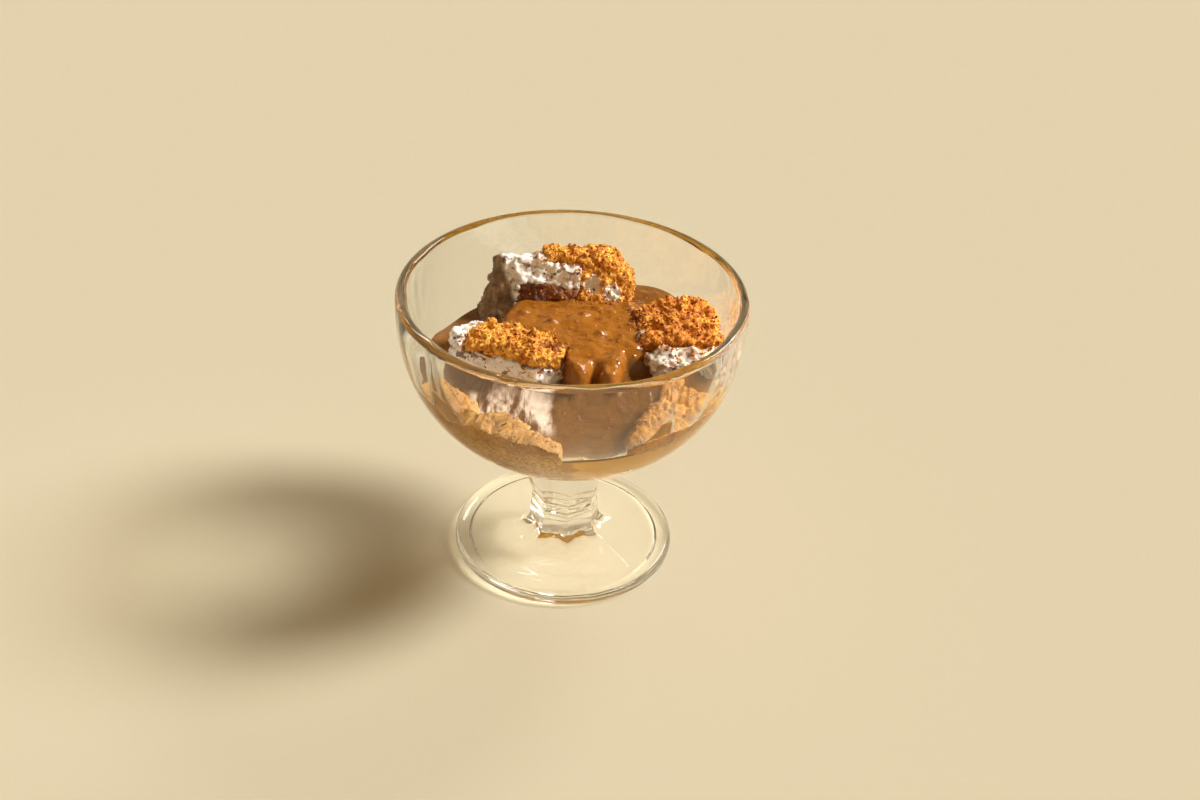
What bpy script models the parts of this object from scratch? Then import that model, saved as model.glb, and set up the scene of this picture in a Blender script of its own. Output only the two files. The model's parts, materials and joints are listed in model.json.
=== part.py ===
"""A footed glass coupe filled with pieces of tiramisu and coffee caramel sauce.

The origin is the centre of the foot's underside, +Z is up and the front of the
cup faces -Y. Lengths are in metres.
"""

import math
import random

import bmesh
import bpy
from mathutils import Matrix, Vector, noise
from mathutils.bvhtree import BVHTree

MM = 0.001
GAP = 0.3 * MM
WALL_GAP = 0.35 * MM
CLEARANCE = 0.8 * MM

# Driving dimensions of the coupe
HEIGHT = 93 * MM
RIM_RADIUS = 52.5 * MM
RIM_THICKNESS = 3.4 * MM
FOOT_RADIUS = 35 * MM
FOOT_EDGE = 1.9 * MM
FOOT_RING_WIDTH = 3 * MM
FOOT_HOLLOW = 0.8 * MM
BOWL_WIDEST = 89.5 * MM
BOWL_DEPTH = 51.6 * MM
BOWL_FLOOR = 43 * MM
INNER_HEIGHTS = (43.5, 44.6, 46.5, 49, 52.5, 57, 62.5, 69, 76.5, 84.5, 90.6)
OUTER_HEIGHTS = (85, 77, 69, 61, 54, 48.5, 44)
OUTER_CURVE = (2.265, 2.147)
INNER_CURVE = (2.2, 2.15)

# Radius and height of the stem down to the foot, with two grooves round its lower end
STEM = ((18.6, 39.4), (14.8, 33.5), (12.1, 26), (10.5, 20.6), (9.7, 20), (10.4, 19.4), (10.4, 17.4),
        (9.6, 16.8), (10.5, 16.2), (10.8, 13.5), (11.2, 10.4), (12.6, 8.4), (15.6, 7.2), (20.5, 6.2), (28, 4.6))

# Pressed pattern: flutes inside the bowl, facets on the stem
COLUMNS = 48
FLUTES = 12
FLUTE_DEPTH = 0.9 * MM
FLUTE_DEPTH_AT_RIM = 0.5 * MM
FACETS = 8
STAR_DEPTH = 0.16
PATTERN_TURN = math.radians(8)

# Sauce: a thick pool that slopes up to the back, heaped over the middle
POOL_HEIGHT = 66.8 * MM
POOL_SLOPE_BACK = 0.05
POOL_SLOPE_RIGHT = 0.06
POOL_SWELLS = ((26 * MM, 34 * MM, 14 * MM, 2.6 * MM), (-42 * MM, 12 * MM, 8 * MM, 2.4 * MM))
HEAP_HEIGHT = 74.8 * MM
HEAP_CENTRE = Vector((2 * MM, 8.5 * MM))
HEAP_HALF_WIDTH = 26 * MM
HEAP_DEPTH_BACK = 23.5 * MM
HEAP_DEPTH_FRONT = 14 * MM
TONGUE_CENTRE = Vector((7.5 * MM, -4 * MM))
TONGUE_HALF_WIDTH = 9.7 * MM
TONGUE_HALF_DEPTH = 13.5 * MM
LOBE_SPACING = 5.2 * MM
LOBE_SHARE = 0.1
CLEFT_WIDTH = 1.6 * MM
RIPPLE = 0.5 * MM
RIPPLE_GRAIN = 9 * MM
SAUCE_RINGS = 15

# Unevenness of the pieces of cake
PIECE_DOME = 1.6 * MM
PIECE_WOBBLE = 1.6 * MM
PIECE_GRAIN = 11 * MM
SLUMP_WOBBLE = 0.8 * MM
SLUMP_GRAIN = 6 * MM

# Share of the back piece's height at which its cream begins
CREAM_BED = 0.59

# Loose crumbs on each crust
CRUMB_SIZES = (0.9 * MM, 1.5 * MM)
CRUMB_SPACING = 2.2 * MM
CRUMB_COUNT = 22
CRUMB_TRIES = 900

# Sponge that has slumped along the wall: azimuths in degrees, and millimetres at even steps
WALL_OVERLAP = 2 * MM
SLUMP_CORE = 12 * MM
LEFT_AZIMUTHS = (-157, -92)
LEFT_TOPS = (69.5, 71.5, 71, 68.5, 70, 71.5, 70.5, 71, 69.5, 68)
LEFT_DEPTHS = (3, 4.5, 6, 4, 4.5, 7, 5.5, 4.5, 3.5, 2.2)
LEFT_BOTTOM = 46
LEFT_SPREAD = 1.35
RIGHT_AZIMUTHS = (-68, -2)
RIGHT_TOPS = (68.4, 69.6, 70.4, 69.9, 70.2, 70, 69, 63, 62.4, 62)
RIGHT_BOTTOMS = (66.2, 65.5, 65, 64.6, 63.6, 62, 60, 57, 56, 56)
RIGHT_DEPTHS = (2.6, 6, 9.5, 11, 11, 11, 11, 11, 11, 11)


def clear_scene():
    """Remove whatever the file holds, so that only the cup is left."""
    for item in list(bpy.data.objects):
        bpy.data.objects.remove(item, do_unlink=True)


def collection(name):
    """Return a new collection in the scene."""
    group = bpy.data.collections.new(name)
    bpy.context.scene.collection.children.link(group)
    return group


def material(name, colour, roughness, transmission=0.0):
    """Return a Principled material."""
    made = bpy.data.materials.new(name)
    made.use_nodes = True
    shader = made.node_tree.nodes["Principled BSDF"]
    shader.inputs["Base Color"].default_value = (*colour, 1)
    shader.inputs["Roughness"].default_value = roughness
    shader.inputs["Transmission Weight"].default_value = transmission
    return made


def add_object(name, mesh, group, finish=None):
    """Put a mesh in the scene as a named object."""
    made = bpy.data.objects.new(name, mesh)
    group.objects.link(made)
    if finish:
        mesh.materials.append(finish)
    return made


def evaluated_mesh(item):
    """Return the item's mesh with its modifiers applied."""
    bpy.context.view_layer.update()
    graph = bpy.context.evaluated_depsgraph_get()
    return bpy.data.meshes.new_from_object(item.evaluated_get(graph), depsgraph=graph)


def apply_modifiers(item):
    """Replace the item's mesh with its evaluated one."""
    finishes = list(item.data.materials)
    mesh = evaluated_mesh(item)
    mesh.materials.clear()
    for finish in finishes:
        mesh.materials.append(finish)
    item.modifiers.clear()
    item.data = mesh


def ramp(value, low, high):
    """Smooth step from 0 at low to 1 at high."""
    share = min(max((value - low) / (high - low), 0), 1)
    return share * share * (3 - 2 * share)


def wander(place):
    """A smooth direction and length that changes over space, each part from -1 to 1."""
    apart = Vector((17.3, 5.9, 31.7))
    return Vector((noise.noise(place), noise.noise(place + apart), noise.noise(place + 2 * apart)))


# Shape of the glass

def bowl_radius(z, depth, curve, widest_radius):
    """Radius of a bowl wall at height z, a rounded dish that closes at its lowest point."""
    fall = max(BOWL_WIDEST - z, 0) / depth
    if fall >= 1:
        return 0
    return widest_radius * (1 - fall ** curve[0]) ** (1 / curve[1])


def outer_radius(z):
    """Outer wall of the bowl."""
    return bowl_radius(z, BOWL_DEPTH, OUTER_CURVE, RIM_RADIUS)


def inner_radius(z):
    """Inner wall of the bowl, at the middle of a flute."""
    return bowl_radius(z, BOWL_WIDEST - BOWL_FLOOR, INNER_CURVE, RIM_RADIUS - RIM_THICKNESS + 0.4 * MM)


def flute_press(z, azimuth):
    """How far the wall stands in between two flutes, at an azimuth from the pattern's start."""
    step = 2 * math.pi / FLUTES
    from_middle = abs((azimuth % step) - step / 2) / (step / 2)
    depth = FLUTE_DEPTH + (FLUTE_DEPTH_AT_RIM - FLUTE_DEPTH) * ramp(z, 82 * MM, HEIGHT)
    return depth * ramp(z, 46 * MM, 56 * MM) * from_middle ** 2


def cavity_radius(z, azimuth, inset=0.0):
    """Radius of the hollow that the contents lie in, at an azimuth in the world."""
    return inner_radius(z) - flute_press(z, azimuth - PATTERN_TURN) - inset


def facet_factor(azimuth):
    """Radius of a regular octagon over that of its corners."""
    step = 2 * math.pi / FACETS
    from_middle = (azimuth % step) - step / 2
    return math.cos(step / 2) / math.cos(from_middle)


def star_factor(azimuth):
    """Radius of the eight-pointed flare over that of its points."""
    step = 2 * math.pi / FACETS
    from_point = 1 - abs((azimuth % step) - step / 2) / (step / 2)
    return 1 - STAR_DEPTH * min(1, 1.6 * from_point)


def hollow_profile(inset=0.0):
    """Half section of the bowl's inside, from the floor up, moved inwards by the inset."""
    points = [Vector((0, BOWL_FLOOR))]
    for height in INNER_HEIGHTS:
        points.append(Vector((inner_radius(height * MM), height * MM)))
    moved = [points[0] + Vector((0, inset))]
    for before, point, after in zip(points, points[1:], points[2:] + points[-1:]):
        along = (after - before).normalized()
        moved.append(point + Vector((-along.y, along.x)) * inset)
    return moved


def glass_profile():
    """Half section of the coupe: up the inside, over the rim, down the outside and under the foot."""
    inside = hollow_profile()
    lip_centre = RIM_RADIUS - RIM_THICKNESS / 2
    lip = []
    for degrees in (150, 115, 80, 45, 10):
        turn = math.radians(degrees)
        reach = RIM_THICKNESS / 2
        lip.append(Vector((lip_centre + reach * math.cos(turn), HEIGHT - reach + reach * math.sin(turn))))
    outside = []
    for height in OUTER_HEIGHTS:
        outside.append(Vector((outer_radius(height * MM), height * MM)))
    stem = [Vector(point) * MM for point in STEM]
    edge_centre = Vector((FOOT_RADIUS - FOOT_EDGE, FOOT_EDGE * 1.05))
    foot = []
    for degrees in (110, 65, 20, -25, -70):
        turn = math.radians(degrees)
        foot.append(edge_centre + Vector((math.cos(turn), math.sin(turn))) * FOOT_EDGE)
    ring_outside = FOOT_RADIUS - FOOT_EDGE * 0.9
    under = [
        Vector((ring_outside, 0)),
        Vector((ring_outside - FOOT_RING_WIDTH, 0)),
        Vector((ring_outside - FOOT_RING_WIDTH - FOOT_HOLLOW, FOOT_HOLLOW)),
        Vector((12 * MM, FOOT_HOLLOW * 1.5)),
        Vector((0, FOOT_HOLLOW * 1.7)),
    ]
    return inside + lip + outside + stem + foot + under


def turned(name, profile, group, columns=COLUMNS):
    """Turn a half section about the Z axis into a closed object."""
    mesh = bpy.data.meshes.new(name)
    points = [(point.x, 0, point.y) for point in profile]
    mesh.from_pydata(points, [(i, i + 1) for i in range(len(points) - 1)], [])
    made = add_object(name, mesh, group)
    screw = made.modifiers.new("turn", "SCREW")
    screw.steps = columns
    screw.render_steps = columns
    screw.use_merge_vertices = True
    screw.merge_threshold = 0.01 * MM
    apply_modifiers(made)
    return made


def press(item, change_radius):
    """Move every point of a turned item in or out, then turn the item to the pattern's place."""
    for vertex in item.data.vertices:
        point = vertex.co
        radius = math.hypot(point.x, point.y)
        if radius < GAP:
            continue
        azimuth = math.atan2(point.y, point.x)
        factor = change_radius(radius, point.z, azimuth) / radius
        point.x *= factor
        point.y *= factor
    item.data.transform(Matrix.Rotation(PATTERN_TURN, 4, "Z"))


def pressed_glass_radius(radius, z, azimuth):
    """Radius of the finished glass where the turned one has the given radius."""
    middle_of_wall = (outer_radius(z) + inner_radius(z)) / 2
    if z > BOWL_FLOOR and radius < middle_of_wall:
        return radius - flute_press(z, azimuth)
    if z > 42 * MM or z < 5.5 * MM or radius > 22 * MM:
        return radius
    star = ramp(z, 10.5 * MM, 8.5 * MM) * ramp(radius, 19 * MM, 13 * MM)
    facet = ramp(z, 8 * MM, 10 * MM) * ramp(z, 41 * MM, 33 * MM)
    return radius * (1 + facet * (facet_factor(azimuth) - 1) + star * (star_factor(azimuth) - 1))


def make_glass(group, finish):
    """The coupe, one piece of pressed glass."""
    glass = turned("coupe_glass", glass_profile(), group)
    press(glass, pressed_glass_radius)
    glass.data.materials.append(finish)
    glass.data.shade_smooth()
    glass.data.set_sharp_from_angle(angle=math.radians(35))
    return glass


def make_cavity(group):
    """The hollow of the bowl, less the gap that the contents keep: a cutter."""
    points = hollow_profile(WALL_GAP)
    points.append(Vector((points[-1].x, HEIGHT + 5 * MM)))
    points.append(Vector((0, HEIGHT + 5 * MM)))
    cavity = turned("bowl_hollow", list(reversed(points)), group)
    press(cavity, lambda radius, z, azimuth: radius - flute_press(z, azimuth))
    cavity.hide_render = True
    cavity.display_type = "WIRE"
    return cavity


# Pieces of tiramisu

class Piece:
    """A cut piece of tiramisu: a soft block that its layers share.

    A place in it is given by u to its right, v to its back and w up, with u and v from -1 to 1
    and w from 0 to 1.
    """

    def __init__(self, centre, size, turn, lean, taper, rounding, seed, left_flare=0.0):
        self.half_length = size[0] / 2
        self.half_width = size[1] / 2
        self.height = size[2]
        self.taper = taper
        self.left_flare = left_flare
        self.rounding = rounding
        self.offset = Vector((seed * 3.7, seed * 1.3, seed * 2.9))
        self.place = Matrix.Translation(centre) @ Matrix.Rotation(turn, 4, "Z") @ Matrix.Rotation(lean, 4, "X")

    def point(self, u, v, w):
        """World place of u, v, w."""
        spread = 1 + self.taper * (1 - w)
        flare = 1 + self.left_flare * (1 - w) * ramp(u, 0, -1)
        across = self.half_length * flare * u * math.sqrt(1 - self.rounding * min(abs(v), 1) ** 4)
        back = self.half_width * spread * v * math.sqrt(1 - self.rounding * min(abs(u), 1) ** 4)
        dome = PIECE_DOME * max(abs(u), abs(v)) ** 3 * max(w, 0)
        local = Vector((across, back, self.height * (w - 0.5) - dome))
        return self.place @ (local + wander(local / PIECE_GRAIN + self.offset) * PIECE_WOBBLE)

    def side_share(self):
        """The gap as a share of the half length."""
        return GAP * 1.2 / self.half_length

    def height_share(self):
        """The gap as a share of the height."""
        return GAP * 1.2 / self.height


class Slump:
    """Sponge that has slumped along the bowl's wall, which trims its outer side.

    A place in it is given by u along the wall, v inwards and w up, with u and v from -1 to 1
    and w from 0 to 1. A margin grows it to a cutter.
    """

    def __init__(self, azimuths, bottoms, tops, depths, spread, margin=0.0):
        self.azimuths = azimuths
        self.bottoms = bottoms
        self.tops = tops
        self.depths = depths
        self.spread = spread
        self.margin = margin

    def at(self, values, u):
        """The length at u among evenly spaced ones."""
        place = min(max((u + 1) / 2, 0), 1) * (len(values) - 1)
        index = min(int(place), len(values) - 2)
        return (values[index] + (values[index + 1] - values[index]) * (place - index)) * MM

    def point(self, u, v, w):
        """World place of u, v, w."""
        start, end = self.azimuths
        azimuth = math.radians(start + (end - start) * (u + 1) / 2)
        low = self.at(self.bottoms, u) - self.margin
        high = self.at(self.tops, u) + self.margin
        height = low + (high - low) * w
        depth = self.at(self.depths, u) + self.spread * max(POOL_HEIGHT - height, 0) + self.margin
        outside = cavity_radius(height, azimuth) + WALL_OVERLAP
        radius = max(outside - (WALL_OVERLAP + depth) * (v + 1) / 2, SLUMP_CORE - self.margin)
        place = Vector((radius * math.cos(azimuth), radius * math.sin(azimuth), height))
        return place + wander(place / SLUMP_GRAIN) * SLUMP_WOBBLE


def block(name, group, piece, u_stops, v_stops, bottom, top, rows):
    """A block of a piece between two heights that vary with u and v."""
    base = bmesh.new()
    bmesh.ops.create_cube(base, size=1, matrix=Matrix.Translation((0.5, 0.5, 0.5)))
    for axis, count in ((0, len(u_stops) - 1), (1, len(v_stops) - 1), (2, rows)):
        direction = Vector((axis == 0, axis == 1, axis == 2))
        for index in range(1, count):
            geometry = base.verts[:] + base.edges[:] + base.faces[:]
            bmesh.ops.bisect_plane(base, geom=geometry, plane_co=direction * index / count, plane_no=direction)
    for vertex in base.verts:
        u = u_stops[round(vertex.co.x * (len(u_stops) - 1))]
        v = v_stops[round(vertex.co.y * (len(v_stops) - 1))]
        low = bottom(u, v)
        w = low + (top(u, v) - low) * vertex.co.z
        vertex.co = piece.point(u, v, w)
    bmesh.ops.recalc_face_normals(base, faces=base.faces[:])
    bmesh.ops.triangulate(base, faces=base.faces[:])
    mesh = bpy.data.meshes.new(name)
    base.to_mesh(mesh)
    base.free()
    return add_object(name, mesh, group)


def stops(low, high, count):
    """Evenly spaced values from low to high."""
    return [low + (high - low) * index / count for index in range(count + 1)]


def trim(item, cutter):
    """Keep what lies inside the cutter."""
    cut = item.modifiers.new("trim", "BOOLEAN")
    cut.operation = "INTERSECT"
    cut.solver = "MANIFOLD"
    cut.object = cutter
    apply_modifiers(item)


def fuse(item, other):
    """Join another body to the item and drop it."""
    join = item.modifiers.new("join", "BOOLEAN")
    join.operation = "UNION"
    join.solver = "MANIFOLD"
    join.object = other
    apply_modifiers(item)
    bpy.data.objects.remove(other, do_unlink=True)


def drop_fins(shape):
    """Take out pairs of triangles that lie back to back on the same three points."""
    seen = {}
    for face in shape.faces:
        seen.setdefault(frozenset(face.verts), []).append(face)
    doubled = [face for faces in seen.values() if len(faces) > 1 for face in faces]
    bmesh.ops.delete(shape, geom=doubled, context="FACES")


def keep_largest(item):
    """Drop the loose scraps that a cut leaves, and keep the largest body."""
    shape = bmesh.new()
    shape.from_mesh(item.data)
    bmesh.ops.triangulate(shape, faces=shape.faces[:])
    drop_fins(shape)
    unseen = set(shape.verts)
    bodies = []
    while unseen:
        waiting = [unseen.pop()]
        body = []
        while waiting:
            vertex = waiting.pop()
            body.append(vertex)
            for edge in vertex.link_edges:
                neighbour = edge.other_vert(vertex)
                if neighbour in unseen:
                    unseen.remove(neighbour)
                    waiting.append(neighbour)
        bodies.append(body)
    bodies.sort(key=len)
    for body in bodies[:-1]:
        bmesh.ops.delete(shape, geom=body, context="VERTS")
    shape.to_mesh(item.data)
    shape.free()


def sauce_height(x, y):
    """Height of the sauce's top over a place in the bowl."""
    pool = POOL_HEIGHT + POOL_SLOPE_BACK * y + POOL_SLOPE_RIGHT * x
    for swell_x, swell_y, reach, rise in POOL_SWELLS:
        pool += rise * math.exp(-((x - swell_x) ** 2 + (y - swell_y) ** 2) / reach ** 2)
    across = abs(x - HEAP_CENTRE.x) / HEAP_HALF_WIDTH
    depth = HEAP_DEPTH_BACK if y > HEAP_CENTRE.y else HEAP_DEPTH_FRONT
    along = abs(y - HEAP_CENTRE.y) / depth
    from_heap = (across ** 3 + along ** 3) ** (1 / 3)
    aside = (x - TONGUE_CENTRE.x) / TONGUE_HALF_WIDTH
    ahead = (TONGUE_CENTRE.y - y) / TONGUE_HALF_DEPTH
    lobes = LOBE_SHARE * math.cos((x - TONGUE_CENTRE.x) / LOBE_SPACING * math.pi) * ramp(ahead, 0.1, 0.7)
    from_tongue = (abs(aside) ** 3 + abs(ahead) ** 3) ** (1 / 3) + lobes
    reach = min(from_heap, from_tongue)
    cleft = math.exp(-((x - TONGUE_CENTRE.x) / CLEFT_WIDTH) ** 2) * ramp(ahead, 0.25, 0.8)
    heap = (HEAP_HEIGHT - pool) * ramp(reach, 1.12, 0.82) * (1 - 0.75 * cleft)
    ripple = RIPPLE * noise.noise(Vector((x, y, 0)) / RIPPLE_GRAIN)
    return pool + heap + ripple * ramp(reach, 1.1, 0.9)


def make_sauce(group, finish, clearances):
    """The sauce: fills the bowl round the pieces, up to its sloping pool and heap."""
    side = [point for point in hollow_profile(WALL_GAP) if point.y < POOL_HEIGHT - 4 * MM]
    side.reverse()
    pool_radius = inner_radius(POOL_HEIGHT)
    top = [Vector((pool_radius * index / SAUCE_RINGS, POOL_HEIGHT)) for index in range(SAUCE_RINGS + 1)]
    sauce = turned("coffee_sauce", top + side, group)
    press(sauce, lambda radius, z, azimuth: radius if z > POOL_HEIGHT - GAP else radius - flute_press(z, azimuth))
    for vertex in sauce.data.vertices:
        x, y, z = vertex.co
        if z < POOL_HEIGHT - GAP:
            continue
        azimuth = math.atan2(y, x)
        share = math.hypot(x, y) / pool_radius
        edge = cavity_radius(sauce_height(x, y), azimuth, WALL_GAP)
        x = share * edge * math.cos(azimuth)
        y = share * edge * math.sin(azimuth)
        vertex.co = (x, y, sauce_height(x, y))
    cut = sauce.modifiers.new("pieces", "BOOLEAN")
    cut.solver = "MANIFOLD"
    cut.operand_type = "COLLECTION"
    cut.collection = clearances
    apply_modifiers(sauce)
    keep_largest(sauce)
    sauce.data.materials.append(finish)
    sauce.data.shade_smooth()
    return sauce


def make_crumb(name, group, place, size, draw):
    """One loose crumb, an uneven little ball."""
    ball = bmesh.new()
    bmesh.ops.create_icosphere(ball, subdivisions=1, radius=1)
    for vertex in ball.verts:
        vertex.co *= draw.uniform(0.75, 1.15)
    stretch = Matrix.Diagonal((draw.uniform(0.8, 1.2), draw.uniform(0.8, 1.2), draw.uniform(0.6, 0.9), 1))
    turn = Matrix.Rotation(draw.uniform(0, math.pi), 4, Vector((draw.random(), draw.random(), 1)))
    bmesh.ops.transform(ball, matrix=Matrix.Translation(place) @ turn @ stretch @ Matrix.Scale(size, 4),
                        verts=ball.verts[:])
    mesh = bpy.data.meshes.new(name)
    ball.to_mesh(mesh)
    ball.free()
    return add_object(name, mesh, group)


def surface_tree(item):
    """A search tree of the item's faces."""
    corners = [vertex.co for vertex in item.data.vertices]
    return BVHTree.FromPolygons(corners, [face.vertices for face in item.data.polygons])


def crumb_places(item, spacing, draw):
    """Places on the item's upper faces, by a seeded draw, that keep a spacing."""
    faces = [face for face in item.data.polygons if face.normal.z > 0.35]
    areas = [face.area for face in faces]
    places = []
    for _ in range(CRUMB_TRIES):
        face = draw.choices(faces, weights=areas)[0]
        corners = [item.data.vertices[index].co for index in face.vertices]
        first, second = sorted((draw.random(), draw.random()))
        place = corners[0] * first + corners[1] * (second - first) + corners[2] * (1 - second)
        if all((place - other).length > spacing for other in places):
            places.append(place)
    return places


def add_crumbs(item, seed, neighbours):
    """Fuse loose crumbs to the upper side of a crust by one union on their collection."""
    draw = random.Random(seed)
    trees = [surface_tree(neighbour) for neighbour in neighbours]
    loose = collection("loose_crumbs")
    count = 0
    for place in crumb_places(item, CRUMB_SPACING, draw):
        size = draw.uniform(*CRUMB_SIZES)
        radius = math.hypot(place.x, place.y)
        wall = cavity_radius(place.z, math.atan2(place.y, place.x), 2 * GAP)
        if count == CRUMB_COUNT:
            break
        is_clear = all(tree.find_nearest(place)[3] > 1.4 * size + GAP for tree in trees)
        if radius + 1.4 * size > wall or not is_clear:
            continue
        make_crumb(f"crumb_{count}", loose, place, size, draw)
        count += 1
    union = item.modifiers.new("crumbs", "BOOLEAN")
    union.operation = "UNION"
    union.solver = "MANIFOLD"
    union.operand_type = "COLLECTION"
    union.collection = loose
    apply_modifiers(item)
    for crumb in list(loose.objects):
        bpy.data.objects.remove(crumb, do_unlink=True)
    bpy.data.collections.remove(loose)
    keep_largest(item)


def finish_layer(item, cavity, finish):
    """Trim a layer to the bowl and give it its material."""
    trim(item, cavity)
    keep_largest(item)
    item.data.materials.append(finish)


def make_slump(name, group, side, margin=0.0):
    """The slumped sponge on the left or right wall, grown by a margin where it is a cutter."""
    if side == "left":
        bottoms = [LEFT_BOTTOM] * len(LEFT_TOPS)
        slump = Slump(LEFT_AZIMUTHS, bottoms, LEFT_TOPS, LEFT_DEPTHS, LEFT_SPREAD, margin)
        rows = 5
    else:
        slump = Slump(RIGHT_AZIMUTHS, RIGHT_BOTTOMS, RIGHT_TOPS, RIGHT_DEPTHS, 0, margin)
        rows = 1
    u_stops = stops(-1, 1, len(slump.tops) - 1)
    if margin:
        end = 1 + margin / (RIM_RADIUS * math.radians(slump.azimuths[1] - slump.azimuths[0]) / 2)
        u_stops = [-end] + u_stops + [end]
    made = block(name, group, slump, u_stops, [-1, 0, 1], lambda u, v: 0, lambda u, v: 1, rows)
    if margin:
        made.hide_render = True
        made.display_type = "WIRE"
    return made


def make_envelope(name, piece, group):
    """A cutter that clears a piece from the sauce."""
    side = CLEARANCE / piece.half_length
    deep = CLEARANCE / piece.half_width
    tall = CLEARANCE / piece.height
    cutter = block(name, group, piece, stops(-1 - side, 1 + side, 10), stops(-1 - deep, 1 + deep, 6),
                   lambda u, v: -tall, lambda u, v: 1 + tall, 6)
    cutter.hide_render = True
    cutter.display_type = "WIRE"
    return cutter


def make_left_piece(group, cavity, clearances, finishes):
    """The piece at the front left: sponge that lies along the glass, cream, and crumbs on top."""
    piece = Piece(centre=Vector((-20, -1.5, 60.7)) * MM, size=(36 * MM, 16.5 * MM, 33 * MM),
                  turn=math.radians(-25), lean=math.radians(-6), taper=0.35, rounding=0.3, seed=2)
    make_envelope("left_clearance", piece, clearances)
    gap = piece.height_share()
    bare_end = -0.62

    def cream_bottom(u, v):
        return 0.66 + 0.03 * math.sin(4 * u)

    def cream_top(u, v):
        return 0.97 if u < bare_end - 0.02 else 0.86 - 0.03 * v

    def crumb_bottom(u, v):
        return 0.86 - 0.03 * v + gap

    sponge = block("left_sponge", group, piece, stops(-1, 1, 9), stops(-1, 1, 5),
                   lambda u, v: 0, lambda u, v: cream_bottom(u, v) - gap, 5)
    fuse(sponge, make_slump("left_slump", group, "left"))
    finish_layer(sponge, cavity, finishes["sponge"])
    u_stops = [-1, -0.86, bare_end - 0.04] + stops(bare_end, 1, 8)
    cream = block("left_cream", group, piece, u_stops, stops(-1, 1, 5), cream_bottom, cream_top, 2)
    finish_layer(cream, cavity, finishes["cream"])
    crumb = block("left_crumb", group, piece, stops(bare_end + 0.05, 0.98, 8), stops(-0.95, 0.95, 5),
                  crumb_bottom, lambda u, v: 1, 1)
    finish_layer(crumb, cavity, finishes["crumb"])
    return crumb, [sponge, cream]


def make_right_piece(group, cavity, clearances, finishes):
    """The piece at the right: sponge with a ledge to the front, cream at its front edge, and crumbs."""
    piece = Piece(centre=Vector((34.5, 9.5, 64.3)) * MM, size=(29 * MM, 35 * MM, 25 * MM),
                  turn=math.radians(12), lean=math.radians(3), taper=0.1, rounding=0.35, seed=5)
    make_envelope("right_clearance", piece, clearances)
    gap = piece.height_share()

    def cream_bottom(u, v):
        return 0.52 + 0.04 * math.sin(3 * v)

    def crumb_bottom(u, v):
        return 0.80 + gap

    def cream_top(u, v):
        return 0.95 if v < -0.52 else 0.80

    sponge = block("right_sponge", group, piece, stops(-1, 1, 6), stops(-1, 1, 7),
                   lambda u, v: 0, lambda u, v: cream_bottom(u, v) - gap, 3)
    fuse(sponge, make_slump("right_slump", group, "right"))
    finish_layer(sponge, cavity, finishes["sponge"])
    v_stops = [-1, -0.8, -0.56] + stops(-0.5, 1, 5)
    cream = block("right_cream", group, piece, stops(-1, 1, 7), v_stops, cream_bottom, cream_top, 2)
    finish_layer(cream, cavity, finishes["cream"])
    crumb = block("right_crumb", group, piece, stops(-0.98, 1, 8), stops(-0.45, 1, 6),
                  crumb_bottom, lambda u, v: 1, 1)
    finish_layer(crumb, cavity, finishes["crumb"])
    return crumb, [sponge, cream]


def make_back_piece(group, cavity, clearances, finishes):
    """The piece at the back: it leans back on the wall, with dark sponge under the cream."""
    piece = Piece(centre=Vector((-2.5, 33, 73.8)) * MM, size=(43 * MM, 15 * MM, 27 * MM),
                  turn=math.radians(2), lean=math.radians(-28), taper=0.15, rounding=0.3, seed=8,
                  left_flare=0.32)
    make_envelope("back_clearance", piece, clearances)
    gap = piece.height_share()
    side = piece.side_share()
    cream_end = -0.74
    crumb_start = -0.3
    crumb_end = 0.2
    shared = stops(crumb_start, crumb_end, 4)

    def cream_bottom(u, v):
        return 0.04 if u < cream_end - 1.5 * side else CREAM_BED

    def cream_top(u, v):
        return 0.92 if u < crumb_start - 1.5 * side else 0.84

    sponge = block("back_sponge", group, piece, stops(cream_end, crumb_end, 6), stops(-1, 1, 4),
                   lambda u, v: 0, lambda u, v: CREAM_BED - gap, 3)
    finish_layer(sponge, cavity, finishes["sponge"])
    u_stops = [-1, -0.9, cream_end - 2 * side] + stops(cream_end - side, crumb_start - 2 * side, 3)
    u_stops = u_stops + [crumb_start - side] + shared[1:]
    cream = block("back_cream", group, piece, u_stops, stops(-1, 1, 4), cream_bottom, cream_top, 4)
    finish_layer(cream, cavity, finishes["cream"])

    def crumb_bottom(u, v):
        return 0.05 if u > crumb_end + 3.5 * side else 0.84 + gap

    u_stops = shared[:-1] + [crumb_end + 3 * side] + stops(crumb_end + 4 * side, 1, 5)
    crumb = block("back_crumb", group, piece, u_stops, stops(-0.97, 1, 4), crumb_bottom,
                  lambda u, v: 1 - 0.2 * ramp(u, 0.55, 1), 4)
    finish_layer(crumb, cavity, finishes["crumb"])
    return crumb, [sponge, cream]


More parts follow.
